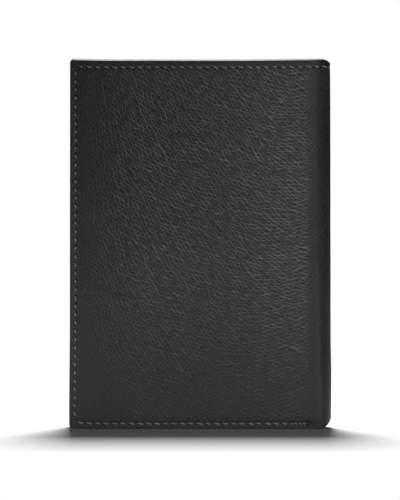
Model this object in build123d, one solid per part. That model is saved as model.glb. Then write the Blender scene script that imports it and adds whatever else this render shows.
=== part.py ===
from build123d import *
import math
import os

# A book-style leather wallet for a passport, cards and travel papers, closed and standing upright
# on its bottom edge. X runs from the fore edge (-) to the spine (+), Y from the back cover (-) to
# the front cover (+), and Z is up. The origin is in the middle of the footprint, at the bottom.
# "Depth" is the distance inwards from a cover's outer face, and "side" is BACK or FRONT.

BACK = -1
FRONT = 1

# Overall size, in millimetres
WIDTH = 102.0
HEIGHT = 145.0
THICKNESS = 14.0

# Sheet thicknesses
LEATHER = 1.2
TOP_HEM = 0.8
BOARD = 0.5
FABRIC = 0.3
INNER_LEATHER = 0.9
SLOT_LEATHER = 0.7
SLOT_FABRIC = 0.2
POCKET_EDGE = 0.7

# Spine: half a tube around the closed wallet's thickness, hinged near each cover
SPINE_RADIUS = THICKNESS / 2
SPINE_CENTRE_X = WIDTH / 2 - SPINE_RADIUS
SPINE_CLEARANCE = 0.15
SPINE_FOOT_RADIUS = 3.0

# Edges
CORNER_RADIUS = 1.0
RIM_RADIUS = 0.5
HEM_WIDTH = 7.2
HEM_INSET = 0.4
LAYER_GAP = 0.2

# Seams: distance of the thread from the edge, and the stitch itself
FORE_SEAM = 2.1
BOTTOM_SEAM = 2.5
TOP_SEAM = 2.4
BOTTOM_SEAM_END = 9.7
POCKET_SEAM = 2.0
STITCH_PITCH = 3.3
STITCH_LENGTH = 2.7
STITCH_SLANT = 12.0
THREAD_RADIUS = 0.25
TACK_LENGTH = 6.6
TACK_PITCH = 1.65
TACK_STITCH = 1.3
SPINE_STITCH = 1.2
GROOVE_WIDTH = 1.3
GROOVE_DEPTH = 0.56
SUNK = THREAD_RADIUS + 0.03
SKIN = 0.01

# Inside: the panels stop short of the spine and of the top edge
PANEL_SPINE_X = 43.0
PANEL_TOP = 141.0
PASSPORT_POCKET_TOP_FORE = 120.0
PASSPORT_POCKET_TOP_SPINE = 104.0
CARD_SLOTS = 4
CARD_SLOT_TOP = 120.0
CARD_SLOT_STEP = 14.0
CARD_SLOT_DEPTH = 57.0
CARD_BAND_OVERLAP = 7.0

# Depths of the layers, worked out from the sheets
HEM_DEPTH = 2 * LEATHER
PANEL_DEPTH = HEM_DEPTH + INNER_LEATHER
POCKET_DEPTH = PANEL_DEPTH + POCKET_EDGE
BAND_HEIGHT = CARD_SLOT_STEP + CARD_BAND_OVERLAP
BAND_LEAN = (SLOT_LEATHER + LAYER_GAP) * BAND_HEIGHT / CARD_SLOT_STEP
BAND_LOW_DEPTH = PANEL_DEPTH + CARD_SLOTS * SLOT_FABRIC + 2 * SKIN
BAND_HIGH_DEPTH = BAND_LOW_DEPTH + BAND_LEAN
FORE_X = -WIDTH / 2
COVER_SPINE_X = SPINE_CENTRE_X - SPINE_CLEARANCE

os.makedirs("parts", exist_ok=True)


def y_at(depth, side):
    """The Y of a point at this depth inside a cover."""
    return side * (THICKNESS / 2 - depth)


def plate(x_range, z_range, depth_range, side):
    """A flat sheet parallel to the covers."""
    width = x_range[1] - x_range[0]
    height = z_range[1] - z_range[0]
    thickness = depth_range[1] - depth_range[0]
    centre_y = y_at(sum(depth_range) / 2, side)
    return Pos(sum(x_range) / 2, centre_y, sum(z_range) / 2) * Box(width, thickness, height)


def leaning_plate(x_range, z_range, depth_low, depth_high, thickness, side):
    """A sheet whose top edge stands further inwards than its bottom edge."""
    corners = [
        (y_at(depth_low, side), z_range[0]),
        (y_at(depth_low + thickness, side), z_range[0]),
        (y_at(depth_high + thickness, side), z_range[1]),
        (y_at(depth_high, side), z_range[1]),
    ]
    profile = Plane.YZ * make_face(Polyline(*corners, close=True))
    return Pos(x_range[0], 0, 0) * extrude(profile, amount=x_range[1] - x_range[0], dir=(1, 0, 0))


def stitch(length):
    """One upright stitch of thread."""
    return Cylinder(THREAD_RADIUS, length)


def seam(start, end, depths, side, pitch=STITCH_PITCH, length=STITCH_LENGTH):
    """Slanting stitches along a line of (x, z) points, centred at the two ends' depths."""
    run = Vector(end[0] - start[0], 0, end[1] - start[1])
    upright = abs(run.Z) > abs(run.X)
    pattern = Rot(0, -STITCH_SLANT if upright else 90 + STITCH_SLANT, 0) * stitch(length)
    count = int(run.length / pitch)
    stitches = []
    for i in range(count):
        share = (i + 0.5) / count
        depth = depths[0] + (depths[1] - depths[0]) * share
        place = Pos(start[0] + run.X * share, y_at(depth, side), start[1] + run.Z * share)
        stitches.append(place * pattern)
    return stitches


def inner_seam(start, end, faces, side):
    """A seam whose thread lies on an inward face, which may lean between two depths."""
    lean = abs(faces[1] - faces[0])
    run = math.hypot(end[0] - start[0], end[1] - start[1])
    proud = THREAD_RADIUS + SKIN + lean * STITCH_LENGTH / run
    return seam(start, end, (faces[0] + proud, faces[1] + proud), side)


def group(solids):
    """Several separate solids that share one node."""
    return Compound(children=[s.solid() for s in solids])


def outer_seam_lines():
    """The three seam lines of a cover as (x, z) ends: top, fore edge, bottom."""
    x_fore = FORE_X + FORE_SEAM
    z_top = HEIGHT - TOP_SEAM
    top = ((x_fore, z_top), (COVER_SPINE_X, z_top))
    fore = ((x_fore, BOTTOM_SEAM + 1.5), (x_fore, z_top - 1.5))
    bottom = ((x_fore, BOTTOM_SEAM), (WIDTH / 2 - BOTTOM_SEAM_END, BOTTOM_SEAM))
    return top, fore, bottom


def groove(line, side):
    """The channel that a seam's thread sinks into on the outer face."""
    (x0, z0), (x1, z1) = line
    half = GROOVE_WIDTH / 2
    x_range = (min(x0, x1) - half, max(x0, x1) + half)
    z_range = (min(z0, z1) - half, max(z0, z1) + half)
    return plate(x_range, z_range, (-1.0, GROOVE_DEPTH), side)


def cover_leather(side):
    """The outer leather of one cover, with soft fore corners, a rolled rim and sunk seams."""
    sheet = plate((FORE_X, COVER_SPINE_X), (0, HEIGHT), (0, LEATHER), side)
    corners = sheet.edges().filter_by(Axis.Y).group_by(Axis.X)[0]
    sheet = fillet(corners, CORNER_RADIUS)
    outer_face = sheet.faces().filter_by(Axis.Y).sort_by(Axis.Y)[-1 if side == FRONT else 0]
    rim = [e for e in outer_face.edges() if e.center().X < COVER_SPINE_X - SKIN]
    sheet = fillet(rim, RIM_RADIUS)
    for line in outer_seam_lines():
        sheet -= groove(line, side)
    return sheet


def edge_stitches(side):
    """The thread of the perimeter seam on a cover's outer face, with a tack where it ends."""
    sunk = (SUNK, SUNK)
    top, fore, bottom = outer_seam_lines()
    tack_start = (bottom[1][0] - TACK_LENGTH, bottom[1][1])
    stitches = seam(*top, sunk, side) + seam(*fore, sunk, side)
    stitches += seam(bottom[0], tack_start, sunk, side)
    stitches += seam(tack_start, bottom[1], sunk, side, TACK_PITCH, TACK_STITCH)
    return group(stitches)


def hem(side, x_range, z_range, thickness):
    """A turned-in edge of the outer leather, lying on its inside."""
    return plate(x_range, z_range, (LEATHER, LEATHER + thickness), side)


def fore_edge_hem(side):
    x0 = FORE_X + HEM_INSET
    return hem(side, (x0, x0 + HEM_WIDTH), (HEM_INSET, HEIGHT - HEM_INSET), LEATHER)


def bottom_hem(side):
    x0 = FORE_X + HEM_INSET + HEM_WIDTH
    return hem(side, (x0, PANEL_SPINE_X), (HEM_INSET, HEM_INSET + HEM_WIDTH), LEATHER)


def top_hem(side):
    x0 = FORE_X + HEM_INSET + HEM_WIDTH
    return hem(side, (x0, PANEL_SPINE_X), (HEIGHT - HEM_INSET - HEM_WIDTH, HEIGHT - HEM_INSET), TOP_HEM)


def between_hems(side, depth_range):
    """A sheet that fills the area inside the turned edges."""
    inset = HEM_INSET + HEM_WIDTH + LAYER_GAP
    return plate((FORE_X + inset, PANEL_SPINE_X - LAYER_GAP), (inset, HEIGHT - inset), depth_range, side)


def cover_stiffener(side):
    return between_hems(side, (LEATHER, LEATHER + BOARD))


def ticket_lining(side):
    return between_hems(side, (LEATHER + BOARD, LEATHER + BOARD + FABRIC))


def inner_panel(side):
    """The leather panel that closes the ticket compartment on all sides but the top."""
    x_range = (FORE_X + 2 * HEM_INSET, PANEL_SPINE_X)
    return plate(x_range, (2 * HEM_INSET, PANEL_TOP), (HEM_DEPTH, PANEL_DEPTH), side)


def passport_pocket_front():
    """The pocket's front, a sheet with a slanting mouth."""
    x0 = FORE_X + 3 * HEM_INSET
    x1 = PANEL_SPINE_X - HEM_INSET
    z0 = 3 * HEM_INSET
    outline = Polyline(
        (x0, z0), (x1, z0), (x1, PASSPORT_POCKET_TOP_SPINE), (x0, PASSPORT_POCKET_TOP_FORE), close=True
    )
    sheet = extrude(Plane.XZ * make_face(outline), amount=INNER_LEATHER, dir=(0, 1, 0))
    return Pos(0, y_at(POCKET_DEPTH, BACK), 0) * sheet


def passport_pocket_edges():
    """The turned edges that lie under the pocket front along its three closed sides."""
    x0 = FORE_X + 3 * HEM_INSET
    x1 = PANEL_SPINE_X - HEM_INSET
    z0 = 3 * HEM_INSET
    depths = (PANEL_DEPTH, POCKET_DEPTH)
    width = 2 * POCKET_SEAM
    fore = plate((x0, x0 + width), (z0, PASSPORT_POCKET_TOP_FORE - 2), depths, BACK)
    spine = plate((x1 - width, x1), (z0, PASSPORT_POCKET_TOP_SPINE), depths, BACK)
    bottom = plate((x0 + width, x1 - width), (z0, z0 + width), depths, BACK)
    return group([fore, spine, bottom])


def passport_pocket_stitches():
    """The seam round the passport pocket, seen from inside the wallet."""
    x_fore = FORE_X + FORE_SEAM + HEM_INSET
    x_spine = PANEL_SPINE_X - POCKET_SEAM
    faces = (POCKET_DEPTH + INNER_LEATHER, POCKET_DEPTH + INNER_LEATHER)
    z0 = BOTTOM_SEAM + 1.5
    stitches = inner_seam((x_fore, z0), (x_fore, PASSPORT_POCKET_TOP_FORE - 3), faces, BACK)
    stitches += inner_seam((x_spine, z0), (x_spine, PASSPORT_POCKET_TOP_SPINE - 1), faces, BACK)
    stitches += inner_seam((x_fore, BOTTOM_SEAM), (x_spine, BOTTOM_SEAM), faces, BACK)
    return group(stitches)


def slot_mouth(index):
    """The height of a card slot's mouth; the slip pocket is the one after the last slot."""
    return CARD_SLOT_TOP - index * CARD_SLOT_STEP


def slot_x_range():
    return FORE_X + 3 * HEM_INSET, PANEL_SPINE_X - HEM_INSET


def card_slot(index):
    """One leather band, its lower edge tucked behind the next band's mouth."""
    z_range = (slot_mouth(index + 1) - CARD_BAND_OVERLAP, slot_mouth(index))
    return leaning_plate(slot_x_range(), z_range, BAND_LOW_DEPTH, BAND_HIGH_DEPTH, SLOT_LEATHER, FRONT)


def slip_pocket_front():
    """The tall pocket under the card slots."""
    z_range = (3 * HEM_INSET, slot_mouth(CARD_SLOTS))
    low = PANEL_DEPTH + SKIN
    return leaning_plate(slot_x_range(), z_range, low, BAND_HIGH_DEPTH, SLOT_LEATHER, FRONT)


def card_slot_linings():
    """Fabric tongues that make the backs of the card slots, each one layer above the last."""
    x_range = (slot_x_range()[0] + 2 * POCKET_SEAM, slot_x_range()[1] - 2 * POCKET_SEAM)
    tongues = []
    for index in range(CARD_SLOTS):
        depth = PANEL_DEPTH + SKIN + index * SLOT_FABRIC
        top = slot_mouth(index) - 2
        bottom = max(slot_mouth(index) - CARD_SLOT_DEPTH, slot_mouth(CARD_SLOTS) - 30)
        tongues.append(plate(x_range, (bottom, top), (depth, depth + SLOT_FABRIC - SKIN), FRONT))
    return group(tongues)


def card_slot_stitches():
    """The seams at both ends of the bands, stepping from band to band, and round the slip pocket."""
    x_fore = FORE_X + FORE_SEAM + HEM_INSET
    x_spine = PANEL_SPINE_X - POCKET_SEAM
    high = BAND_HIGH_DEPTH + SLOT_LEATHER
    stitches = []
    for index in range(CARD_SLOTS):
        z_range = (slot_mouth(index + 1) + HEM_INSET, slot_mouth(index) - HEM_INSET)
        low = high - BAND_LEAN * CARD_SLOT_STEP / BAND_HEIGHT
        for x in (x_fore, x_spine):
            stitches += inner_seam((x, z_range[0]), (x, z_range[1]), (low, high), FRONT)
    foot = PANEL_DEPTH + SKIN + SLOT_LEATHER
    z_top = slot_mouth(CARD_SLOTS)
    low = foot + (high - foot) * BOTTOM_SEAM / z_top
    for x in (x_fore, x_spine):
        stitches += inner_seam((x, BOTTOM_SEAM + 1.5), (x, z_top - HEM_INSET), (low, high), FRONT)
    stitches += inner_seam((x_fore, BOTTOM_SEAM), (x_spine, BOTTOM_SEAM), (low, low), FRONT)
    return group(stitches)


def spine_shell(outer_depth, inner_depth, z_range):
    """Half a tube between two depths, cut clear of the covers."""
    height = z_range[1] - z_range[0]
    tube = Cylinder(SPINE_RADIUS - outer_depth, height) - Cylinder(SPINE_RADIUS - inner_depth, height)
    keep = Pos(SPINE_RADIUS + SPINE_CLEARANCE, 0, 0) * Box(2 * SPINE_RADIUS, THICKNESS + 2, height)
    return Pos(SPINE_CENTRE_X, 0, sum(z_range) / 2) * (tube & keep)


def spine_foot():
    """A block whose lower outer corner is round, which trims the foot of the spine."""
    block = Pos(WIDTH / 2 - 20, 0, HEIGHT / 2) * Box(40, THICKNESS + 2, HEIGHT)
    corner = block.edges().filter_by(Axis.Y).group_by(Axis.X)[-1].sort_by(Axis.Z)[0]
    return fillet(corner, SPINE_FOOT_RADIUS)


def spine_leather():
    """The outer leather round the fold, with the top seam's groove running across it."""
    shell = spine_shell(0, LEATHER, (0, HEIGHT)) & spine_foot()
    z_seam = HEIGHT - TOP_SEAM
    half = GROOVE_WIDTH / 2
    return shell - spine_shell(-1.0, GROOVE_DEPTH, (z_seam - half, z_seam + half))


def spine_top_hem():
    z1 = HEIGHT - HEM_INSET
    return spine_shell(LEATHER, LEATHER + TOP_HEM, (z1 - HEM_WIDTH, z1))


def spine_bottom_hem():
    low = SPINE_FOOT_RADIUS
    return spine_shell(LEATHER, LEATHER + TOP_HEM, (low, low + HEM_WIDTH))


def spine_inside(outer_depth, inner_depth):
    """A strip that lines the spine between its two hems."""
    low = SPINE_FOOT_RADIUS + HEM_WIDTH + LAYER_GAP
    high = HEIGHT - HEM_INSET - HEM_WIDTH - LAYER_GAP
    return spine_shell(outer_depth, inner_depth, (low, high))


def spine_reinforcement():
    return spine_inside(LEATHER, LEATHER + BOARD)


def spine_lining():
    return spine_inside(LEATHER + BOARD, LEATHER + BOARD + FABRIC)


def spine_top_stitches():
    """The top seam's stitches where it goes round the spine, short enough to stay in the groove."""
    radius = SPINE_RADIUS - SUNK
    step = math.degrees(STITCH_PITCH / radius)
    count = int(160 / step)
    place = Pos(SPINE_CENTRE_X, 0, HEIGHT - TOP_SEAM)
    pattern = Pos(radius, 0, 0) * Rot(90 + STITCH_SLANT, 0, 0) * stitch(SPINE_STITCH)
    return group([place * Rot(0, 0, (i - (count - 1) / 2) * step) * pattern for i in range(count)])


def cover_nodes(name, side):
    """The pieces that both covers have, by node name."""
    return {
        name + "_cover_leather": cover_leather(side),
        name + "_cover_stiffener": cover_stiffener(side),
        name + "_ticket_lining": ticket_lining(side),
        name + "_fore_edge_hem": fore_edge_hem(side),
        name + "_bottom_hem": bottom_hem(side),
        name + "_top_hem": top_hem(side),
        name + "_inner_panel": inner_panel(side),
        name + "_edge_stitches": edge_stitches(side),
    }


nodes = cover_nodes("back", BACK)
nodes.update(cover_nodes("front", FRONT))
nodes["passport_pocket_front"] = passport_pocket_front()
nodes["passport_pocket_edges"] = passport_pocket_edges()
nodes["passport_pocket_stitches"] = passport_pocket_stitches()
for number in range(CARD_SLOTS):
    nodes["card_slot_" + str(number + 1)] = card_slot(number)
nodes["card_slot_linings"] = card_slot_linings()
nodes["slip_pocket_front"] = slip_pocket_front()
nodes["card_slot_stitches"] = card_slot_stitches()
nodes["spine_leather"] = spine_leather()
nodes["spine_top_hem"] = spine_top_hem()
nodes["spine_bottom_hem"] = spine_bottom_hem()
nodes["spine_reinforcement"] = spine_reinforcement()
nodes["spine_lining"] = spine_lining()
nodes["spine_top_stitches"] = spine_top_stitches()

for node_name, shape in nodes.items():
    export_step(shape, "parts/" + node_name + ".step")
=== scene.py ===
"""A black leather travel wallet, closed and standing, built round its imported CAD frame."""
import math

import bpy
import numpy as np
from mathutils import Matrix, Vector


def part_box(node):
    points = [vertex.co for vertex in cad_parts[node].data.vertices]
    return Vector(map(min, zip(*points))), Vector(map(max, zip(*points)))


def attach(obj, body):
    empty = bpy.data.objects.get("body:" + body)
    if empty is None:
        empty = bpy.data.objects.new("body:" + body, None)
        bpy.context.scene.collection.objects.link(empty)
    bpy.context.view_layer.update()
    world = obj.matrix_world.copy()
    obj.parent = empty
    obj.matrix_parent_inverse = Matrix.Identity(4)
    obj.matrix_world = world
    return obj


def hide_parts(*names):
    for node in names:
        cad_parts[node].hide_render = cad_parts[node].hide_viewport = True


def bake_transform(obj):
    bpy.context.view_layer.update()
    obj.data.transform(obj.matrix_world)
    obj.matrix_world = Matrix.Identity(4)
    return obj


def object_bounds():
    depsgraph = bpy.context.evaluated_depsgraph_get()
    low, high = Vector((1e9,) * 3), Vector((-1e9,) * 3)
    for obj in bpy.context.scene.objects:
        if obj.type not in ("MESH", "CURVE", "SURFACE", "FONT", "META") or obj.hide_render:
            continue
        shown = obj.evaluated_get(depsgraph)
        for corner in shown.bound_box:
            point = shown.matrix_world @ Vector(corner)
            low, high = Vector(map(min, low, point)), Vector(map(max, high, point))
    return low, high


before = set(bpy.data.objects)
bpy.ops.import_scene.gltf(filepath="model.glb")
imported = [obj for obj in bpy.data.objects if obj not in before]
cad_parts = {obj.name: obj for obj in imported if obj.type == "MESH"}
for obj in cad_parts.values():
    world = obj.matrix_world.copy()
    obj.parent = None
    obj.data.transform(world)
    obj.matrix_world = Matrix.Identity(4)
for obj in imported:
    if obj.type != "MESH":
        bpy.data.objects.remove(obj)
CAD_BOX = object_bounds()

# Shapes are worked out in millimetres and written to meshes in metres. A point on a cover is given
# by s, the distance from the fore edge along the leather, its height z, and its depth below the
# cover's outer face.
MM = 0.001
BACK = -1
FRONT = 1
NAMES = {BACK: "back", FRONT: "front"}

LOW = np.array(CAD_BOX[0]) / MM
HIGH = np.array(CAD_BOX[1]) / MM
WIDTH, THICKNESS, HEIGHT = HIGH - LOW
FORE_X = LOW[0]
SPINE_X = HIGH[0]
HALF = THICKNESS / 2


def node_range(node, axis):
    """A CAD node's lowest and highest coordinate along an axis, in millimetres."""
    low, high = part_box(node)
    return low[axis] / MM, high[axis] / MM


# The outer leather: one sheet per cover whose edges are turned in, up to the middle of the spine.
# The roll is wider at its head than at its foot. Each arch is how far from the spine's edge the
# leather's end starts to curve, and how far it curves away.
LEATHER = 1.2
RIM = LEATHER
TOP_HEM = 0.8
CORNER = 1.35
HEM_WIDTH = node_range("back_fore_edge_hem", 0)[1] - FORE_X
ROLL_TOP = 8.5
ROLL_FOOT = 4.6
FLAT_END = WIDTH - ROLL_TOP
FOOT_ARCH = (4.8, 3.6)
HEAD_ARCH = (3.6, 1.3)
RIM_REACH = 0.45

# How far the leather spreads all the way down and near the foot, and how far its foot lifts and its
# head drops and rises towards the corners
FLARE = 0.3
FOOT_FLARE = 0.25
FOOT_LIFT = 0.45
HEAD_DROP = 0.1
HEAD_LIFT = 0.25

# Seams: insets from the edges, pitch, where the bottom seam stops, its tack, and the thread's radius
FORE_SEAM = 2.2
TOP_SEAM = 2.8
BOTTOM_SEAM = 2.15
SEAM_END = WIDTH - 9.7
PITCH = 3.3
TACK_PITCH = 1.65
TACK_STITCHES = 4
THREAD = 0.29

# The outer leather's relief: the soft belly over the board, with where it rises and falls, the
# fullness inside the seams, and the groove, needle holes and puckers along a seam
BELLY = 1.2
BELLY_RISE = (2, 32)
BELLY_FALL = (71, FLAT_END + 1.5)
PILLOW = 0.22
PILLOW_REACH = 7.0
SEAM_GROOVE = 0.06
HOLE_DEPTH = 0.45
HOLE_WIDTH = 0.45
PUCKER = 0.07
TACK_PIT = 0.55
TACK_CREASE = 0.22
INNER_SEAM_SHARE = 0.45


# ---------------------------------------------------------------- mesh helpers


def smooth(value, low, high):
    """A soft step from 0 at low to 1 at high."""
    t = np.clip((value - low) / (high - low), 0, 1)
    return t * t * (3 - 2 * t)


def spread(start, stop, step):
    """Even values from start to stop, both included, about a step apart."""
    return np.linspace(start, stop, max(2, int(round((stop - start) / step)) + 1))


def rim_steps(radius):
    """Distances from an edge that divide its rounding evenly."""
    return radius * (1 - np.cos(np.radians(np.arange(0, 91, 15))))


def rim_drop(d, radius, reach):
    """How far a rim falls away at a distance from the edge: a half ellipse that reaches in this far."""
    inside = np.clip(1 - d / reach, 0, 1)
    return radius * (1 - np.sqrt(1 - inside**2))


def waves(s, z, seed, length, count=7):
    """Gentle uneven swells of about this wavelength, between -1 and 1."""
    rng = np.random.default_rng(seed)
    total = np.zeros(np.broadcast(s, z).shape)
    for _ in range(count):
        angle = rng.uniform(0, math.pi)
        size = length * rng.uniform(0.7, 1.6)
        phase = rng.uniform(0, 2 * math.pi)
        total += np.sin((s * math.cos(angle) + z * math.sin(angle)) * 2 * math.pi / size + phase)
    return total / count**0.5 / 1.6


def to_frame(x, depth, z, side):
    """Points in metres from x, depth below the cover's outer face, and height."""
    y = side * (HALF - depth)
    return np.stack([x, np.broadcast_to(y, x.shape), z], axis=-1) * MM


def quads(rows, columns, first, flip):
    """The faces of a grid of points whose first index is given."""
    r, c = np.meshgrid(np.arange(rows - 1), np.arange(columns - 1), indexing="ij")
    a = (first + r * columns + c).ravel()
    order = [a, a + 1, a + 1 + columns, a + columns]
    return np.stack(order[::-1] if flip else order, axis=1)


def make_object(name, vertices, faces, uvs, material):
    """A smooth-shaded mesh object with one UV map."""
    mesh = bpy.data.meshes.new(name)
    mesh.vertices.add(len(vertices))
    mesh.vertices.foreach_set("co", vertices.astype(np.float32).ravel())
    mesh.loops.add(faces.size)
    mesh.loops.foreach_set("vertex_index", faces.astype(np.int32).ravel())
    mesh.polygons.add(len(faces))
    mesh.polygons.foreach_set("loop_start", np.arange(0, faces.size, faces.shape[1], dtype=np.int32))
    mesh.update(calc_edges=True)
    layer = mesh.uv_layers.new(name="UVMap")
    layer.data.foreach_set("uv", uvs[faces.ravel()].astype(np.float32).ravel())
    mesh.polygons.foreach_set("use_smooth", np.ones(len(faces), dtype=bool))
    mesh.materials.append(material)
    mesh.validate()
    obj = bpy.data.objects.new(name, mesh)
    bpy.context.scene.collection.objects.link(obj)
    return obj


def two_faced(name, face, back, uv, material, flip):
    """A sheet from the points of its two faces, which meet wherever their rims are the same point."""
    rows, columns = face.shape[:2]
    vertices = np.concatenate([face.reshape(-1, 3), back.reshape(-1, 3)])
    uvs = np.concatenate([uv.reshape(-1, 2)] * 2)
    index = np.arange(len(vertices)).reshape(2, rows, columns)
    shared = np.linalg.norm(face - back, axis=-1) < 1e-7
    index[1][shared] = index[0][shared]
    near = quads(rows, columns, 0, flip)
    far = quads(rows, columns, rows * columns, not flip)
    faces = index.ravel()[np.concatenate([near, far])]
    used, faces = np.unique(faces, return_inverse=True)
    return make_object(name, vertices[used], faces.reshape(-1, 4), uvs[used], material)


def finish_piece(obj, nodes):
    """Hides the CAD nodes that a piece stands for."""
    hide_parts(*nodes)
    return obj


# ---------------------------------------------------------------- the outer leather's shape


def seam_holes(start, stop, pitch):
    """Needle holes along a seam, evenly spaced from end to end."""
    return spread(start, stop, pitch)


TOP_HOLES = np.arange(FORE_SEAM + 0.8, WIDTH + 3.5, PITCH)
FORE_HOLES = seam_holes(BOTTOM_SEAM + 1.3, HEIGHT - TOP_SEAM - 1.3, PITCH)
TACK_START = SEAM_END - TACK_PITCH * TACK_STITCHES
TACK_HOLES = TACK_START + TACK_PITCH * np.arange(1, TACK_STITCHES + 1)
BOTTOM_HOLES = np.append(seam_holes(FORE_SEAM + 0.8, TACK_START, PITCH), TACK_HOLES)


def dents(along, across, holes, half_width, half_length):
    """Round dents of depth 1 at the holes of a seam."""
    nearest = holes[np.abs(along[..., None] - holes).argmin(-1)]
    return np.exp(-(((along - nearest) / half_length) ** 2) - (across / half_width) ** 2)


def seam_relief(along, across, holes, ends):
    """How far the leather sinks (negative) along a seam and puckers between its needle holes."""
    first, last = ends
    on_seam = smooth(along, first - 1.2, first + 0.4) * (1 - smooth(along, last - 0.4, last + 1.2))
    groove = -SEAM_GROOVE * np.exp(-((across / 0.7) ** 2))
    holes_depth = -HOLE_DEPTH * dents(along, across - 0.2, holes, HOLE_WIDTH, HOLE_WIDTH)
    beside = np.exp(-(((np.abs(across) - 1.5) / 1.0) ** 2))
    pucker = -PUCKER * beside * dents(along, across * 0, holes, 1.0, 1.0)
    return on_seam * (groove + holes_depth + pucker)


def outer_relief(s, z, side):
    """The height of the outer leather's surface above the cover's flat face."""
    inside = np.minimum(np.minimum(s - FORE_SEAM, HEIGHT - TOP_SEAM - z), z - BOTTOM_SEAM)
    pillow = PILLOW * (1 - np.exp(-np.clip(inside, 0, None) / PILLOW_REACH))
    belly = BELLY * smooth(s, *BELLY_RISE) * (1 - smooth(s, *BELLY_FALL))
    belly *= np.clip(1 - np.abs((z - HEIGHT / 2) / (HEIGHT / 2)) ** 1.3, 0, 1)
    swell = 0.13 * waves(s, z, 3 + side, 34) + 0.05 * waves(s, z, 11 + side, 11)
    swell *= smooth(inside, 0, 9)
    relief = pillow + belly + swell
    relief += seam_relief(s, z - (HEIGHT - TOP_SEAM), TOP_HOLES, (FORE_SEAM + 0.8, 2 * WIDTH))
    relief += seam_relief(s, z - BOTTOM_SEAM, BOTTOM_HOLES, (FORE_SEAM + 0.8, SEAM_END))
    relief += seam_relief(z, FORE_SEAM - s, FORE_HOLES, (FORE_HOLES[0], FORE_HOLES[-1]))
    pit = ((s - SEAM_END - 0.3) / 0.9) ** 2 + ((z - BOTTOM_SEAM) / 0.8) ** 2
    crease = np.exp(-(((z - BOTTOM_SEAM + 0.1 * (s - SEAM_END)) / 0.7) ** 2))
    crease *= smooth(s, SEAM_END, SEAM_END + 2) * (1 - smooth(s, SEAM_END + 5, SEAM_END + 12))
    return relief - TACK_PIT * np.exp(-pit) - TACK_CREASE * crease


def roll_path(share, width):
    """Where the leather is at each share of its way round to the middle of the spine.

    The way starts where the widest roll starts, runs flat up to this height's roll, and follows a
    quarter of an ellipse. Returns x, depth and the outward normal's two parts."""
    turn = np.linspace(0, math.pi / 2, 61)
    x = np.append(SPINE_X - ROLL_TOP, SPINE_X - width + width * np.sin(turn))
    depth = np.append(0, HALF - HALF * np.cos(turn))
    turn = np.append(0, turn)
    steps = np.hypot(np.diff(x), np.diff(depth))
    way = np.append(0, np.cumsum(steps))
    at = share * way[-1]
    angle = np.interp(at, way, turn)
    nx, nd = np.sin(angle) / width, -np.cos(angle) / HALF
    size = np.hypot(nx, nd)
    return np.interp(at, way, x), np.interp(at, way, depth), nx / size, nd / size


ROLL_LENGTH = ROLL_TOP + 3.0


def round_corner(s, z):
    """Bends the grid round the two fore corners. Returns s, z and the distance to the outline."""
    a = np.clip((CORNER - s) / CORNER, 0, 1)
    low = np.clip((CORNER - z) / CORNER, 0, 1)
    high = np.clip((z - HEIGHT + CORNER) / CORNER, 0, 1)
    b = low + high
    s2 = s + CORNER * (a - a * np.sqrt(1 - b**2 / 2))
    shift = CORNER * (b - b * np.sqrt(1 - a**2 / 2))
    z2 = z + np.where(low > 0, shift, -shift)
    to_edge = np.minimum(s2, np.minimum(z2, HEIGHT - z2))
    in_corner = CORNER * (1 - np.hypot(CORNER - s2, CORNER * b * np.sqrt(1 - a**2 / 2)) / CORNER)
    return s2, z2, np.clip(np.where((a > 0) & (b > 0), in_corner, to_edge), 0, None)


def outline_height(x, z):
    """Fits heights between the wallet's slightly uneven foot and head, with their round corners."""
    into_foot = np.clip(1 - (SPINE_X - x) / FOOT_ARCH[0], 0, 1)
    into_head = np.clip(1 - (SPINE_X - x) / HEAD_ARCH[0], 0, 1)
    foot = FOOT_LIFT * smooth(-x, 38, 50) + FOOT_ARCH[1] * (0.4 * into_foot**2 + 0.6 * into_foot**4)
    head = HEIGHT - HEAD_DROP + HEAD_LIFT * smooth(-x, 36, 50) + HEAD_LIFT * smooth(x, 18, 44)
    head = head - HEAD_ARCH[1] * (0.3 * into_head**2 + 0.7 * into_head**4)
    return foot + z * (head - foot) / HEIGHT


def leather_path(s, z):
    """One row of a cover's outer face at distance s round it: x, depth and the outward normal's parts."""
    x = FORE_X + s
    depth = np.zeros(s.shape)
    nx = np.zeros(s.shape)
    nd = -np.ones(s.shape)
    on_roll = s > FLAT_END
    if on_roll.any():
        width = ROLL_FOOT + (ROLL_TOP - ROLL_FOOT) * float(np.mean(z)) / HEIGHT
        share = np.clip((s[on_roll] - FLAT_END) / ROLL_LENGTH, 0, 1)
        x[on_roll], depth[on_roll], nx[on_roll], nd[on_roll] = roll_path(share, width)
    return x, depth, nx, nd


def outer_surface(s, z, side, lift=0.0, through=False):
    """Points on a cover's outer leather at s and z, lifted off it, or on its inner face instead."""
    s2, z2, d = round_corner(s, z)
    x, depth, nx, nd = leather_path(s2, z)
    drop = rim_drop(d, RIM, RIM_REACH)
    relief = outer_relief(s2, z2, side) * smooth(d, 0.2, 1.6)
    relief = relief * (1 - smooth(s2, FLAT_END, FLAT_END + 5) * 0.6) + lift
    if through:
        turned = 1 - smooth(d, HEM_WIDTH - 0.3, HEM_WIDTH + 0.3)
        at_top = (HEIGHT - z2 < s2) & (HEIGHT - z2 < z2)
        hem = np.where(at_top, RIM + (TOP_HEM - RIM) * smooth(d, RIM, 2.4), RIM)
        offset = -np.where(d < RIM, 2 * RIM - drop, LEATHER + hem * turned)
    else:
        offset = relief - drop
    flare = (FLARE * (1 - z2 / HEIGHT) + FOOT_FLARE * (1 - smooth(z2, 8, 40))) * x / SPINE_X
    return to_frame(x + flare + nx * offset, depth + nd * offset, outline_height(x, z2), side)


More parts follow.
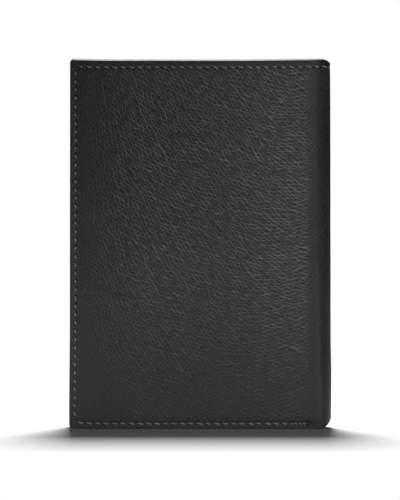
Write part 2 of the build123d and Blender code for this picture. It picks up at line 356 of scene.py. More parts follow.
def skin_grid():
    """The (s, z) grid of one cover's outer leather: fine at the rims, even elsewhere."""
    columns = [rim_steps(RIM_REACH), spread(RIM_REACH, 6, 0.42)[1:], spread(6, FLAT_END, 0.62)[1:]]
    roll = FLAT_END + ROLL_LENGTH * np.append(np.linspace(0, 0.995, 24)[1:], 1.0)
    edge = spread(RIM_REACH, 4.6, 0.42)[1:]
    middle = spread(4.6, HEIGHT - 4.6, 0.62)[1:-1]
    rim = rim_steps(RIM_REACH)
    rows = [rim, edge, middle, HEIGHT - edge[::-1], HEIGHT - rim[::-1]]
    return np.meshgrid(np.concatenate(columns + [roll]), np.concatenate(rows))


def closed_at_end(faces, backs):
    """Adds a last column half way between the two faces of a sheet, which closes its end."""
    end = (faces[:, -1:] + backs[:, -1:]) / 2
    return np.concatenate([faces, end], axis=1), np.concatenate([backs, end], axis=1)


def outer_skin(side, material):
    """The outer leather of one cover, with its turned edges, round to the middle of the spine."""
    s, z = skin_grid()
    faces = np.stack([outer_surface(s[i], z[i], side) for i in range(len(s))])
    backs = np.stack([outer_surface(s[i], z[i], side, through=True) for i in range(len(s))])
    faces, backs = closed_at_end(faces, backs)
    name = NAMES[side]
    uv = np.stack([s, z], axis=-1) * MM
    uv = np.concatenate([uv, uv[:, -1:]], axis=1)
    skin = two_faced(name + "_outer_leather", faces, backs, uv, material, flip=side == FRONT)
    bend(skin)
    nodes = [name + part for part in ("_cover_leather", "_fore_edge_hem", "_bottom_hem", "_top_hem")]
    nodes += ["spine_leather", "spine_top_hem", "spine_bottom_hem"]
    return finish_piece(skin, nodes)


def bend(obj):
    """Bakes a piece's transform into its mesh."""
    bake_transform(obj)


# ---------------------------------------------------------------- thread


def yarn(start, end, normal, radius, seed):
    """The points of one stitch: a twisted two-ply thread that dives into the leather at both ends."""
    rng = np.random.default_rng(seed)
    rings, sides = 13, 8
    t = np.linspace(0, 1, rings)[:, None]
    along = end - start
    start = start + along * rng.uniform(0, 0.12)
    along = (end - start) * rng.uniform(0.82, 1.0)
    length = np.linalg.norm(along)
    along = along / length
    radius = radius * rng.uniform(0.86, 1.12)
    across = np.cross(normal, along)
    rise = np.clip(np.minimum(t, 1 - t) * length / (0.45 * MM), 0, 1)
    height = (np.sin(rise * math.pi / 2) * rng.uniform(1.1, 1.45) - 0.75) * radius
    path = start + t * along * length + height * normal
    path = path + across * radius * 0.25 * rng.uniform(-1, 1) * np.sin(t * math.pi)
    angle = np.linspace(0, 2 * math.pi, sides, endpoint=False)[None, :]
    twist = t * length / (1.1 * MM) * 2 * math.pi + rng.uniform(0, 6)
    ply = 1 + 0.17 * np.cos(2 * angle - 2 * twist)
    taper = 0.6 + 0.4 * np.clip(np.minimum(t, 1 - t) * 9, 0, 1)
    r = radius * ply * taper
    ring = np.cos(angle)[..., None] * across + 0.82 * np.sin(angle)[..., None] * normal
    points = path[:, None, :] + r[..., None] * ring
    around = np.broadcast_to(angle, r.shape) * radius
    uv = np.stack([around, np.broadcast_to(t * length, r.shape)], axis=-1)
    return points, uv


def thread_piece(name, stitches, material, radius=THREAD):
    """One piece from many stitches, each given by its two ends and the surface's normal, in metres."""
    vertices, faces, uvs = [], [], []
    first = 0
    for seed, (start, end, normal) in enumerate(stitches):
        points, uv = yarn(start, end, normal, radius * MM, seed)
        rings, sides = points.shape[:2]
        index = np.arange(rings * sides).reshape(rings, sides)
        index = np.concatenate([index, index[:, :1]], axis=1)
        face = np.stack([index[:-1, :-1], index[:-1, 1:], index[1:, 1:], index[1:, :-1]], axis=-1)
        cap = np.array([[0, 1, 2, 3], [0, 3, 4, 7], [4, 5, 6, 7]])
        faces += [face.reshape(-1, 4) + first, cap[:, ::-1] + first, cap + first + (rings - 1) * sides]
        vertices.append(points.reshape(-1, 3))
        uvs.append(uv.reshape(-1, 2))
        first += rings * sides
    arrays = [np.concatenate(part) for part in (vertices, faces, uvs)]
    return make_object(name, *arrays, material)


def stitch_on_skin(s, z, side, through=False):
    """A stitch's two ends and normal, from the ends' s and z."""
    ends = outer_surface(np.array(s, float), np.array(z, float), side, through=through)
    flat = outer_surface(np.array(s, float), np.array(z, float), side)
    lifted = outer_surface(np.array(s, float), np.array(z, float), side, lift=-1.0 if through else 1.0)
    normal = (lifted - flat).mean(0)
    return ends[0], ends[1], normal / np.linalg.norm(normal)


def outer_thread(side, material):
    """All the stitches that show on one cover, sloping down from each hole towards the next."""
    z_top = HEIGHT - TOP_SEAM
    middle = FLAT_END + ROLL_LENGTH
    stitches = []
    for a, b in zip(TOP_HOLES[:-1], TOP_HOLES[1:]):
        if b - 0.9 < middle - 0.3:
            stitches.append(stitch_on_skin((a + 0.1, b - 0.9), (z_top + 0.34, z_top - 0.36), side))
            heights = (z_top - 0.2, z_top + 0.3)
            stitches.append(stitch_on_skin((a + 0.1, b - 0.5), heights, side, through=True))
    for a, b in zip(BOTTOM_HOLES[:-1], BOTTOM_HOLES[1:]):
        gap = 0.6 if b - a > 2 else 0.25
        heights = (BOTTOM_SEAM + 0.34, BOTTOM_SEAM - 0.36)
        stitches.append(stitch_on_skin((a + 0.1, b - gap), heights, side))
    for a, b in zip(FORE_HOLES[:-1], FORE_HOLES[1:]):
        stitches.append(stitch_on_skin((FORE_SEAM - 0.25, FORE_SEAM + 0.2), (b - 0.45, a + 1.15), side))
    name = NAMES[side]
    piece = thread_piece(name + "_edge_thread", stitches, material)
    bend(piece)
    return finish_piece(piece, [name + "_edge_stitches", "spine_top_stitches"])


# ---------------------------------------------------------------- the inside


PANEL_SPINE_X = node_range("back_inner_panel", 0)[1]
INNER_FORE = FORE_X + FORE_SEAM + 0.4
INNER_SPINE = PANEL_SPINE_X - 2.0
INNER_LEATHER = 0.9
SLOT_LEATHER = 0.7
CLOTH = 0.3
SLOT_CLOTH = 0.19
BOARD = 0.5
CARD_SLOTS = 4
MOUTH_SLANT = 16.0


def node_depths(node, side):
    """The depths between which a CAD node lies inside its cover."""
    low, high = node_range(node, 1)
    return sorted((HALF - side * low, HALF - side * high))


def edge_spread(low, high, rim, fine, coarse):
    """Places across a sheet: close together on its two rims and their seams, wider in between."""
    seam = spread(rim, 4.5, fine)
    middle = spread(low + 4.5, high - 4.5, coarse)[1:-1]
    steps = rim_steps(rim)[:-1]
    near = [low + steps, low + seam]
    far = [high - seam[::-1], high - steps[::-1]]
    return np.concatenate(near + [middle] + far)


def line_relief(x, z, line):
    """The groove and dents that a seam makes in an inner sheet. A line is level or upright."""
    (xa, za), (xb, zb) = line
    along, across, ends = (z, x - xa, (za, zb)) if xa == xb else (x, z - za, (xa, xb))
    return INNER_SEAM_SHARE * seam_relief(along, across, seam_holes(*ends, PITCH), ends)


def straight_mouth(x):
    return np.zeros(np.shape(x))


def slanting_mouth(x):
    """How far the passport pocket's mouth falls towards the spine."""
    x0, x1 = node_range("passport_pocket_front", 0)
    return MOUTH_SLANT * np.clip((x - x0) / (x1 - x0), 0, 1)


class Sheet:
    """A flat or leaning sheet inside a cover: its outline from a CAD node, and its two faces."""

    def __init__(
        self, node, side, thickness, seams=(), turned=0.0, mouth=straight_mouth, crease=0.0, swell=0.0
    ):
        self.side, self.thickness, self.turned, self.mouth = side, thickness, turned, mouth
        self.seams, self.crease, self.swell = seams, crease, swell
        self.x = node_range(node, 0)
        self.z = node_range(node, 2)
        self.near, far = node_depths(node, side)
        self.lean = far - self.near - thickness
        self.seed = int(sum(self.z) + 7 * side)

    def fall(self, x, z):
        """How much lower a point lies for the slant of the mouth."""
        return self.mouth(x) * (z - self.z[0]) / (self.z[1] - self.z[0])

    def seen(self, x, z):
        """The depth of the face that shows, at x and the height that z has before the mouth's slant."""
        low, high = self.z
        inside = np.minimum(np.minimum(x - self.x[0], self.x[1] - x), np.minimum(z - low, high - z))
        base = self.near + self.lean * (z - low) / (high - low) + self.thickness
        relief = self.swell * waves(x, z, self.seed, 30) * smooth(inside, 1, 12)
        relief = relief - self.crease * np.exp(-(((high - z - 2.2) / 0.4) ** 2))
        real_z = z - self.fall(x, z)
        for line in self.seams:
            relief = relief + line_relief(x, real_z, line)
        return base + relief * smooth(inside, 0.1, 0.8)

    def build(self, name, nodes, material, fine=0.5, coarse=0.8):
        """The sheet's mesh, standing for its CAD nodes and riding on its cover."""
        rim = self.thickness / 2
        xs = edge_spread(*self.x, rim, fine, coarse)
        zs = edge_spread(*self.z, rim, fine, coarse)
        x, z = np.meshgrid(xs, zs)
        to_side = np.minimum(np.minimum(x - self.x[0], self.x[1] - x), z - self.z[0])
        to_edge = np.minimum(to_side, self.z[1] - z)
        seen = self.seen(x, z)
        base = self.near + self.lean * (z - self.z[0]) / (self.z[1] - self.z[0])
        hidden = base - self.turned * (1 - smooth(to_side, 3.6, 4.2))
        middle = (seen + hidden) / 2
        half = (seen - hidden) / 2 * np.sqrt(1 - np.clip(1 - to_edge / rim, 0, 1) ** 2)
        real_z = z - self.fall(x, z)
        face = to_frame(x, middle + half, real_z, self.side)
        back = to_frame(x, middle - half, real_z, self.side)
        uv = np.stack([x - self.x[0], real_z - self.z[0]], axis=-1) * MM
        piece = two_faced(name, face, back, uv, material, flip=self.side == BACK)
        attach(piece, NAMES[self.side] + "_cover")
        return finish_piece(piece, nodes)

    def stitches(self, line):
        """The stitches of a seam line on the face that shows."""
        (xa, za), (xb, zb) = line
        upright = xa == xb
        holes = seam_holes(*((za, zb) if upright else (xa, xb)), PITCH)
        normal = np.array((0.0, -self.side, 0.0))
        made = []
        for a, b in zip(holes[:-1], holes[1:]):
            along = np.array((b - 0.15, a + 0.6) if upright else (a + 0.15, b - 0.6))
            aslant = np.array((-0.25, 0.2) if upright else (0.3, -0.3))
            x = xa + aslant if upright else along
            z = along if upright else za + aslant
            depth = self.seen(x, z + self.fall(x, z))
            ends = to_frame(x, depth, z, self.side)
            made.append((ends[0], ends[1], normal))
        return made


def cover_layers(side, leather, weave, board):
    """The board, the ticket compartment's cloth and the inner panel of one cover."""
    name = NAMES[side]
    node = name + "_cover_stiffener"
    Sheet(node, side, BOARD).build(name + "_board", [node], board, 1.5, 6.0)
    node = name + "_ticket_lining"
    lining = Sheet(node, side, CLOTH, swell=0.04)
    piece = lining.build(name + "_ticket_cloth", [node], weave, 1.5, 3.0)
    node = name + "_inner_panel"
    top = node_range(node, 2)[1]
    mouth = node_range("passport_pocket_front", 2)[1]
    line = ((INNER_FORE, mouth + 1.5), (INNER_FORE, top - 1.5))
    panel = Sheet(node, side, INNER_LEATHER, seams=[line], crease=0.12, swell=0.06)
    panel.build(name + "_panel", [node], leather, 0.6, 1.2)
    return panel.stitches(line)


def passport_pocket(leather, thread, panel_stitches):
    """The passport pocket's front with its turned edges, and the thread round it."""
    node = "passport_pocket_front"
    z0, z1 = node_range(node, 2)
    side_top = z1 - MOUTH_SLANT
    lines = [
        ((INNER_FORE, BOTTOM_SEAM + 1.5), (INNER_FORE, z1 - 2.0)),
        ((INNER_SPINE, BOTTOM_SEAM + 1.5), (INNER_SPINE, side_top - 1.5)),
        ((INNER_FORE + 1.0, BOTTOM_SEAM), (INNER_SPINE - 1.0, BOTTOM_SEAM)),
    ]
    depth = node_depths(node, BACK)[0]
    turned = depth - node_depths("back_inner_panel", BACK)[1]
    pocket = Sheet(node, BACK, INNER_LEATHER, lines, turned, slanting_mouth, crease=0.16, swell=0.16)
    pocket.build("passport_pocket", [node, "passport_pocket_edges"], leather, 0.5, 0.8)
    stitches = [stitch for line in lines for stitch in pocket.stitches(line)]
    piece = thread_piece("passport_thread", stitches + panel_stitches, thread)
    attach(piece, "back_cover")
    finish_piece(piece, ["passport_pocket_stitches"])


def card_side(leather, weave, thread, panel_stitches):
    """The card bands, their cloth backs, the slip pocket and the thread at their ends."""
    stitches = list(panel_stitches)
    mouths = [node_range("card_slot_" + str(i + 1), 2)[1] for i in range(CARD_SLOTS)]
    mouths.append(node_range("slip_pocket_front", 2)[1])
    for i in range(CARD_SLOTS):
        node = "card_slot_" + str(i + 1)
        shown = (mouths[i + 1] + 0.4, mouths[i] - 0.6)
        lines = [((x, shown[0]), (x, shown[1])) for x in (INNER_FORE, INNER_SPINE)]
        band = Sheet(node, FRONT, SLOT_LEATHER, lines, crease=0.12, swell=0.07)
        band.build("card_band_" + str(i + 1), [node], leather, 0.5, 0.9)
        stitches += [stitch for line in lines for stitch in band.stitches(line)]
    node = "slip_pocket_front"
    lines = [((x, BOTTOM_SEAM + 1.5), (x, mouths[-1] - 1.0)) for x in (INNER_FORE, INNER_SPINE)]
    lines.append(((INNER_FORE + 1.0, BOTTOM_SEAM), (INNER_SPINE - 1.0, BOTTOM_SEAM)))
    pocket = Sheet(node, FRONT, SLOT_LEATHER, lines, crease=0.14, swell=0.12)
    pocket.build("slip_pocket", [node], leather, 0.5, 0.8)
    stitches += [stitch for line in lines for stitch in pocket.stitches(line)]
    piece = thread_piece("card_thread", stitches, thread)
    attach(piece, "front_cover")
    finish_piece(piece, ["card_slot_stitches"])
    card_linings(weave, mouths)


def card_linings(weave, mouths):
    """The cloth tongues behind the cards, each a layer above the last."""
    node = "card_slot_linings"
    low = node_range(node, 2)[0]
    near = node_depths(node, FRONT)[0]
    for i in range(CARD_SLOTS):
        tongue = Sheet(node, FRONT, SLOT_CLOTH)
        tongue.near = near + i * (SLOT_CLOTH + 0.01)
        tongue.lean = 0.0
        tongue.z = (max(mouths[i] - 57.0, low), mouths[i] - 2.0)
        piece = tongue.build("card_cloth_" + str(i + 1), [node], weave, 1.5, 3.0)


SPINE_CLOTH_DEPTH = 1.75
SPINE_CLOTH_TUCK = 7.0


def spine_lining(side, weave):
    """Half of the cloth that lines the spine, from under a cover's inner panel to the spine's middle."""
    name = NAMES[side]
    z0 = node_range("back_cover_stiffener", 2)[0]
    z1 = node_range("back_cover_stiffener", 2)[1]
    end = FLAT_END + ROLL_LENGTH
    start = PANEL_SPINE_X - SPINE_CLOTH_TUCK - FORE_X
    rim = CLOTH / 2
    rows = edge_spread(z0, z1, rim, 0.8, 2.0)
    columns = np.concatenate([start + rim_steps(rim)[:-1], spread(start + rim, end, 0.6)])
    s, z = np.meshgrid(columns, rows)
    to_edge = np.minimum(s - start, np.minimum(z - z0, z1 - z))
    half = rim * np.sqrt(1 - np.clip(1 - to_edge / rim, 0, 1) ** 2)
    middle = SPINE_CLOTH_DEPTH + rim
    faces, backs = [], []
    for i in range(len(rows)):
        x, depth, nx, nd = leather_path(s[i], z[i])
        for surface, sign in ((faces, 1), (backs, -1)):
            offset = -(middle + sign * half[i])
            surface.append(to_frame(x + nx * offset, depth + nd * offset, z[i], side))
    faces, backs = closed_at_end(np.stack(faces), np.stack(backs))
    uv = np.stack([s, z], axis=-1) * MM
    uv = np.concatenate([uv, uv[:, -1:]], axis=1)
    piece = two_faced(name + "_spine_cloth", faces, backs, uv, weave, flip=side == BACK)
    bend(piece)
    finish_piece(piece, ["spine_lining", "spine_reinforcement"])


# ---------------------------------------------------------------- materials


def add_node(tree, kind, values=None, **settings):
    """A shader node with its settings, each input linked to a socket or set to a value."""
    node = tree.nodes.new(kind)
    for name, value in settings.items():
        setattr(node, name, value)
    for name, value in (values or {}).items():
        if isinstance(value, bpy.types.NodeSocket):
            tree.links.new(value, node.inputs[name])
        else:
            node.inputs[name].default_value = value
    return node


def maths(tree, operation, a, b=0.0):
    return add_node(tree, "ShaderNodeMath", {0: a, 1: b}, operation=operation).outputs[0]


def vector_maths(tree, operation, values):
    return add_node(tree, "ShaderNodeVectorMath", values, operation=operation).outputs[0]


def turned_by(tree, vector, angle):
    """The coordinates turned about their origin."""
    values = {"Vector": vector, "Angle": angle}
    return add_node(tree, "ShaderNodeVectorRotate", values, rotation_type="Z_AXIS").outputs[0]


def soft_step(tree, value, low, high, out_low=0.0, out_high=1.0):
    """A value mapped smoothly from one range to another, and held at that range's ends."""
    values = {"Value": value, "From Min": low, "From Max": high, "To Min": out_low, "To Max": out_high}
    return add_node(tree, "ShaderNodeMapRange", values, interpolation_type="SMOOTHSTEP").outputs[0]


def float_mix(tree, share, a, b):
    return add_node(tree, "ShaderNodeMix", {0: share, 2: a, 3: b}, data_type="FLOAT").outputs[0]


def colour_mix(tree, share, a, b):
    node = add_node(tree, "ShaderNodeMix", {"Factor": share}, data_type="RGBA")
    for socket, value in ((node.inputs[6], a), (node.inputs[7], b)):
        if isinstance(value, bpy.types.NodeSocket):
            tree.links.new(value, socket)
        else:
            socket.default_value = (*value, 1.0)
    return node.outputs[2]


def new_material(name):
    """An empty material with its node tree, its shader, and flat coordinates in millimetres."""
    material = bpy.data.materials.new(name)
    material.use_nodes = True
    tree = material.node_tree
    shader = tree.nodes["Principled BSDF"]
    uv = add_node(tree, "ShaderNodeUVMap", uv_map="UVMap").outputs[0]
    return material, tree, shader, vector_maths(tree, "SCALE", {0: uv, "Scale": 1 / MM})


def noise(tree, vector, size, detail=2.0, roughness=0.5):
    """Soft noise from 0 to 1 with features of about this size in millimetres."""
    values = {"Vector": vector, "Scale": 1 / size, "Detail": detail, "Roughness": roughness}
    return add_node(tree, "ShaderNodeTexNoise", values, noise_dimensions="2D").outputs[0]


def wander(tree, vector, size, amount):
    """The coordinates shifted about by soft noise, so that lines drawn in them meander."""
    values = {"Vector": vector, "Scale": 1 / size, "Detail": 2.0}
    colour = add_node(tree, "ShaderNodeTexNoise", values, noise_dimensions="2D").outputs[1]
    centred = vector_maths(tree, "SUBTRACT", {0: colour, 1: (0.5, 0.5, 0.5)})
    moved = vector_maths(tree, "SCALE", {0: centred, "Scale": amount})
    return vector_maths(tree, "ADD", {0: vector, 1: moved})


def cell_edges(tree, vector, angle, along, across, softness):
    """1 on the lines of a net of cells drawn out at an angle below horizontal, 0 inside the cells."""
    turned = turned_by(tree, vector, math.radians(angle))
    sized = vector_maths(tree, "MULTIPLY", {0: turned, 1: (1 / along, 1 / across, 1)})
    values = {"Vector": sized, "Scale": 1.0, "Randomness": 0.95}
    settings = {"voronoi_dimensions": "2D", "feature": "DISTANCE_TO_EDGE"}
    edge = add_node(tree, "ShaderNodeTexVoronoi", values, **settings).outputs[0]
    return soft_step(tree, edge, softness, 0.0)


# The drawn grain, in millimetres and degrees: the spacing of its lines on the cover and on the roll,
# how far they meander and over what size, how near to a wave's crest a line starts, and the angle
# at which two sets of lines cross
LINE_SPACING = 1.45
ROLL_SPACING = 1.4
MEANDER = 1.9
MEANDER_SIZE = (9, 3.2)
LINE_START = 0.83
CROSSING = 18

# The grain's direction below horizontal: at the fore edge, how far it has turned by the cover's
# middle and then by the spine, and on the roll. It turns in small steps, one to each band.
FORE_GRAIN = 64
MIDDLE_TURN = 28
SPINE_TURN = 34
ROLL_GRAIN = -42
GRAIN_BAND = 13.0


def drawn_lines(tree, vector, angle, spacing):
    """1 on thin meandering lines that run at an angle below horizontal, in radians, 0 between them."""
    turned = turned_by(tree, vector, angle)
    along, across = MEANDER_SIZE
    sized = vector_maths(tree, "MULTIPLY", {0: turned, 1: (1 / along, 1 / across, 1)})
    meander = maths(tree, "MULTIPLY", noise(tree, sized, 1.0, 1.0), MEANDER)
    place = maths(tree, "ADD", add_node(tree, "ShaderNodeSeparateXYZ", {0: turned}).outputs[1], meander)
    wave = maths(tree, "COSINE", maths(tree, "MULTIPLY", place, 2 * math.pi / spacing))
    return soft_step(tree, wave, LINE_START, 1.0)


def crossed_lines(tree, vector, angle, spacing):
    """Two sets of lines that cross at a narrow angle and leave long pointed cells between them."""
    crossing = math.radians(CROSSING)
    first = drawn_lines(tree, vector, maths(tree, "ADD", angle, crossing), spacing)
    second = drawn_lines(tree, vector, maths(tree, "SUBTRACT", angle, crossing), spacing)
    return maths(tree, "MAXIMUM", first, maths(tree, "MULTIPLY", second, 0.95))


def crease_field(tree, flat, s, z):
    """The drawn grain of the outer leather: 1 on the thin lines between its long cells, 0 inside them.

    The lines are steep at the fore edge and swing round to level beside the spine."""
    bent = wander(tree, wander(tree, flat, 14.0, 2.2), 1.8, 0.4)
    jitter = maths(tree, "MULTIPLY", noise(tree, flat, 26.0, 1.0), 20.0)
    across = maths(tree, "ADD", s, maths(tree, "MULTIPLY", z, -0.25))
    across = maths(tree, "ADD", across, maths(tree, "ADD", jitter, HEIGHT / 4 - 10.0))
    band = maths(tree, "DIVIDE", across, GRAIN_BAND)
    layers = []
    for step in (0, 1):
        place = maths(tree, "MULTIPLY", maths(tree, "FLOOR", maths(tree, "ADD", band, step)), GRAIN_BAND)
        to_middle = soft_step(tree, place, 5, 58, 0, math.radians(MIDDLE_TURN))
        to_spine = soft_step(tree, place, 74, 108, 0, math.radians(SPINE_TURN))
        turn = maths(tree, "ADD", to_middle, to_spine)
        angle = maths(tree, "SUBTRACT", math.radians(FORE_GRAIN), turn)
        layers.append(crossed_lines(tree, bent, angle, LINE_SPACING))
    share = soft_step(tree, maths(tree, "FRACT", band), 0.75, 1.0)
    field = float_mix(tree, share, *layers)
    lines = drawn_lines(tree, bent, math.radians(ROLL_GRAIN), ROLL_SPACING)
    ragged = maths(tree, "ADD", s, maths(tree, "MULTIPLY", jitter, 0.2))
    rolled = soft_step(tree, ragged, FLAT_END, FLAT_END + 4)
    return float_mix(tree, rolled, field, lines)


def grain_and_highlight_strength(tree, s, z):
    """How strongly the grain and the painted highlight on its lines show: weakly at the fore edge, the
    foot and the seams, and on the roll, and rising towards the spine to paint a brighter band beside the
    roll.
    """
    strength = soft_step(tree, s, 2.0, 30.0, 0.16, 0.9)
    fades = (
        (z, 5.0, 75.0, 0.3, 1.0),
        # Painted highlight: the lines grow stronger towards the spine, for a brighter band beside the
        # roll
        (s, 55, 88, 0.78, 1.2),
        (z, HEIGHT - 4.5, HEIGHT - 2.5, 1.0, 0.12),
        (z, 2.5, 5.0, 0.12, 1.0),
        (s, FLAT_END - 2, FLAT_END + 2, 1.0, 0.2),
    )
    for fade in fades:
        strength = maths(tree, "MULTIPLY", strength, soft_step(tree, *fade))
    return strength


def outer_leather_material():
    """Black full-grain leather with a drawn pebble grain, satin on its high spots; its grain lines and
    foot rim carry painted highlights.
    """
    material, tree, shader, flat = new_material("black_grain_leather")
    s, z = add_node(tree, "ShaderNodeSeparateXYZ", {0: flat}).outputs[:2]
    strength = grain_and_highlight_strength(tree, s, z)
    # Breaks the grain's lines into separate glints: it scales their relief and the painted highlight on
    # them
    broken = soft_step(tree, noise(tree, flat, 3.0, 1.0), 0.30, 0.62, 0.45, 1.0)
    creases = crease_field(tree, flat, s, z)
    creases = maths(tree, "MULTIPLY", maths(tree, "MULTIPLY", creases, broken), strength)
    pebbles = cell_edges(tree, wander(tree, flat, 3.0, 1.0), 40, 1.2, 0.8, 0.22)
    pebbled = maths(tree, "ADD", maths(tree, "MULTIPLY", strength, 0.6), 0.35)
    pebbles = maths(tree, "MULTIPLY", pebbles, pebbled)
    fine = noise(tree, flat, 0.35, 3.0, 0.6)
    height = maths(tree, "ADD", creases, maths(tree, "MULTIPLY", pebbles, 0.4))
    height = maths(tree, "ADD", height, maths(tree, "MULTIPLY", fine, 0.18))
    bump = add_node(tree, "ShaderNodeBump", {"Height": height, "Distance": 0.13 * MM, "Strength": 1.0})
    # Black, a little paler towards the edges, with painted highlights: the lines of the grain and the
    # foot's rim lightened grey
    cloud = noise(tree, flat, 30, 3.0)
    colour = colour_mix(tree, cloud, (0.004, 0.004, 0.004), (0.008, 0.008, 0.008))
    inside = maths(tree, "MINIMUM", s, maths(tree, "MINIMUM", z, maths(tree, "SUBTRACT", HEIGHT, z)))
    colour = colour_mix(tree, soft_step(tree, inside, 2.0, 28.0, 0.08, 0.0), colour, (0.1, 0.1, 0.1))
    # Painted highlight: the grain's lines and the pebbles' edges lightened grey, as if they catch the
    # light
    lines = maths(tree, "MAXIMUM", creases, maths(tree, "MULTIPLY", pebbles, 0.28))
    colour = colour_mix(tree, lines, colour, (0.225, 0.225, 0.225))
    # Painted highlight: a thin pale line along the foot's rim, which faces the shadowed floor
    foot_rim_highlight = soft_step(tree, z, 0.15, 0.7, 0.06, 0.0)
    colour = colour_mix(tree, foot_rim_highlight, colour, (1.0, 1.0, 1.0))
    rough = soft_step(tree, creases, 0.0, 1.0, 0.44, 0.34)
    rough = maths(tree, "ADD", rough, maths(tree, "MULTIPLY", noise(tree, flat, 5.0), 0.08))
    tree.links.new(colour, shader.inputs["Base Color"])
    tree.links.new(rough, shader.inputs["Roughness"])
    tree.links.new(bump.outputs[0], shader.inputs["Normal"])
    shader.inputs["Specular IOR Level"].default_value = 0.25
    return material


def inner_leather_material():
    """Smooth black lining leather with a fine pebble grain."""
    material, tree, shader, flat = new_material("black_smooth_leather")
    cells = cell_edges(tree, wander(tree, flat, 3.0, 0.8), 20, 0.95, 0.8, 0.30)
    fine = noise(tree, flat, 0.3, 3.0, 0.6)
    height = maths(tree, "ADD", maths(tree, "MULTIPLY", cells, -0.7), maths(tree, "MULTIPLY", fine, 0.25))
    height = maths(tree, "ADD", height, noise(tree, flat, 6.0, 2.0))
    bump = add_node(tree, "ShaderNodeBump", {"Height": height, "Distance": 0.05 * MM, "Strength": 1.0})
    colour = colour_mix(tree, noise(tree, flat, 22, 3.0), (0.009, 0.009, 0.0092), (0.016, 0.016, 0.0162))
    # Painted shade: the creases between the cells darkened
    colour = colour_mix(tree, maths(tree, "MULTIPLY", cells, 0.5), colour, (0.006, 0.006, 0.006))
    rough = maths(tree, "ADD", maths(tree, "MULTIPLY", noise(tree, flat, 4.0), 0.14), 0.38)
    tree.links.new(colour, shader.inputs["Base Color"])
    tree.links.new(rough, shader.inputs["Roughness"])
    tree.links.new(bump.outputs[0], shader.inputs["Normal"])
    return material


def lining_material():
    """Black twill: fine diagonal ribs crossed by single threads."""
    material, tree, shader, flat = new_material("black_twill")
    x, z = add_node(tree, "ShaderNodeSeparateXYZ", {0: flat}).outputs[:2]
    ribs = maths(tree, "SINE", maths(tree, "MULTIPLY", maths(tree, "ADD", x, z), 2 * math.pi / 0.62))
    warp = maths(tree, "SINE", maths(tree, "MULTIPLY", x, 2 * math.pi / 0.31))
    height = maths(tree, "ADD", maths(tree, "MULTIPLY", ribs, 0.5), maths(tree, "MULTIPLY", warp, 0.25))
    height = maths(tree, "ADD", height, noise(tree, flat, 0.15, 2.0))
    bump = add_node(tree, "ShaderNodeBump", {"Height": height, "Distance": 0.05 * MM, "Strength": 1.0})
    shade = soft_step(tree, ribs, -1.0, 1.0)
    blotches = soft_step(tree, noise(tree, flat, 9.0, 3.0), 0.2, 0.8, 0.6, 1.0)
    shade = maths(tree, "MULTIPLY", shade, blotches)
    colour = colour_mix(tree, shade, (0.006, 0.006, 0.0065), (0.024, 0.024, 0.026))
    tree.links.new(colour, shader.inputs["Base Color"])
    tree.links.new(bump.outputs[0], shader.inputs["Normal"])
    shader.inputs["Roughness"].default_value = 0.72
    shader.inputs["Sheen Weight"].default_value = 0.25
    return material


def board_material():
    """Grey fibre board, mottled and matt."""
    material, tree, shader, flat = new_material("grey_fibre_board")
    fibres = noise(tree, flat, 0.7, 5.0, 0.7)
    colour = colour_mix(tree, fibres, (0.05, 0.048, 0.045), (0.14, 0.135, 0.13))
    bump = add_node(tree, "ShaderNodeBump", {"Height": fibres, "Distance": 0.04 * MM, "Strength": 0.7})
    tree.links.new(colour, shader.inputs["Base Color"])
    tree.links.new(bump.outputs[0], shader.inputs["Normal"])
    shader.inputs["Roughness"].default_value = 0.85
    return material


def thread_material():
    """Bonded dark grey thread, its plies slightly shiny."""
    material, tree, shader, flat = new_material("grey_thread")
    fibres = noise(tree, flat, 0.12, 3.0, 0.6)
    colour = colour_mix(tree, fibres, (0.13, 0.13, 0.135), (0.31, 0.31, 0.32))
    bump = add_node(tree, "ShaderNodeBump", {"Height": fibres, "Distance": 0.05 * MM, "Strength": 0.6})
    tree.links.new(colour, shader.inputs["Base Color"])
    tree.links.new(bump.outputs[0], shader.inputs["Normal"])
    shader.inputs["Roughness"].default_value = 0.38
    shader.inputs["Sheen Weight"].default_value = 0.3
    return material


# ---------------------------------------------------------------- studio


# The share of the picture's height that the wallet takes up
WALLET_SHARE = 0.7395

def plain_material(name, colour, roughness):
    material = bpy.data.materials.new(name)
    material.use_nodes = True
    shader = material.node_tree.nodes["Principled BSDF"]
    shader.inputs["Base Color"].default_value = (*colour, 1.0)
    shader.inputs["Roughness"].default_value = roughness
    return material


def studio_floor():
    """A white floor under the wallet and behind it."""
    half, front = 0.3, -0.15
    corners = np.array([(-half, front, 0), (half, front, 0), (half, half, 0), (-half, half, 0)], float)
    corners[:, 2] = LOW[2] * MM - 0.0001
    faces = np.array([[0, 1, 2, 3]])
    white = plain_material("floor_white", (0.76,) * 3, 0.9)
    floor = make_object("floor", corners, faces, corners[:, :2], white)


def area_light(name, place, target, size, power, spread=math.pi):
    """A soft rectangular light at a place, aimed at a target, both in metres."""
    data = bpy.data.lights.new(name, "AREA")
    data.shape = "RECTANGLE"
    data.size, data.size_y = size
    data.energy = power
    data.spread = spread
    light = bpy.data.objects.new(name, data)
    light.location = place
    light.rotation_euler = (Vector(target) - Vector(place)).to_track_quat("-Z", "Y").to_euler()
    bpy.context.scene.collection.objects.link(light)
    return light


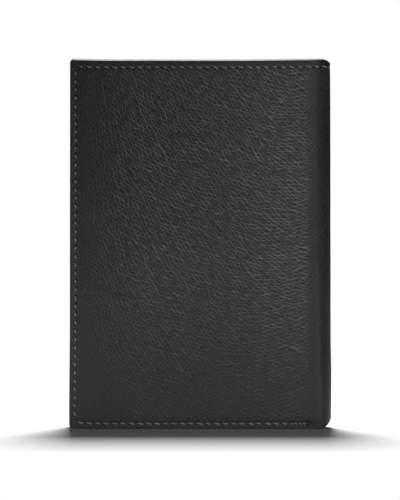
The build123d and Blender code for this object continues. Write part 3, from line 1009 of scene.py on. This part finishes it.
def studio_world():
    """White behind the wallet, and a dimmer even light on it."""
    world = bpy.data.worlds.new("studio")
    bpy.context.scene.world = world
    world.use_nodes = True
    tree = world.node_tree
    tree.nodes.clear()
    seen = add_node(tree, "ShaderNodeLightPath").outputs["Is Camera Ray"]
    white = add_node(tree, "ShaderNodeBackground", {"Color": (1, 1, 1, 1), "Strength": 1.0}).outputs[0]
    dim = add_node(tree, "ShaderNodeBackground", {"Color": (1, 1, 1, 1), "Strength": 0.035}).outputs[0]
    mixed = add_node(tree, "ShaderNodeMixShader", {0: seen, 1: dim, 2: white}).outputs[0]
    add_node(tree, "ShaderNodeOutputWorld", {"Surface": mixed})


def studio_lights():
    """A light above and behind, a key from the front right, a low fill, and a narrow accent on the
    spine's upper half."""
    middle = (0, 0, HEIGHT * MM / 2)
    area_light("overhead", (0, 0.178, 0.50), (0, 0, 0), (0.12, 0.2), 4.85)
    area_light("key", (0.27, -0.62, 0.06), middle, (0.22, 0.16), 0.90)
    area_light("fill", (0.0, -0.16, 0.012), (0, 0, 0.02), (0.3, 0.02), 0.088)
    area_light("accent", (0.14, -0.5, 0.02), (0.038, 0, 0.13), (0.05, 0.05), 0.0038, math.radians(17))


def camera():
    """A long lens, almost level, straight onto the back cover."""
    data = bpy.data.cameras.new("camera")
    data.lens = 420
    data.sensor_width = 36
    view_height = HEIGHT * MM / WALLET_SHARE
    distance = view_height * data.lens / data.sensor_width
    tilt = math.radians(3.0)
    target = Vector((-0.0001, -HALF * MM, HEIGHT * MM / 2 - 0.0021))
    cam = bpy.data.objects.new("camera", data)
    cam.location = target + Vector((0, -math.cos(tilt), math.sin(tilt))) * distance
    cam.rotation_euler = (target - cam.location).to_track_quat("-Z", "Y").to_euler()
    bpy.context.scene.collection.objects.link(cam)
    bpy.context.scene.camera = cam


# ---------------------------------------------------------------- build

bpy.context.scene.view_settings.view_transform = "Standard"
camera()
studio_world()
studio_lights()
studio_floor()

grain_leather = outer_leather_material()
smooth_leather = inner_leather_material()
twill = lining_material()
fibre_board = board_material()
grey_thread = thread_material()
inner_stitches = {}
for cover_side in (BACK, FRONT):
    outer_skin(cover_side, grain_leather)
    outer_thread(cover_side, grey_thread)
    inner_stitches[cover_side] = cover_layers(cover_side, smooth_leather, twill, fibre_board)
    spine_lining(cover_side, twill)
passport_pocket(smooth_leather, grey_thread, inner_stitches[BACK])
card_side(smooth_leather, twill, grey_thread, inner_stitches[FRONT])
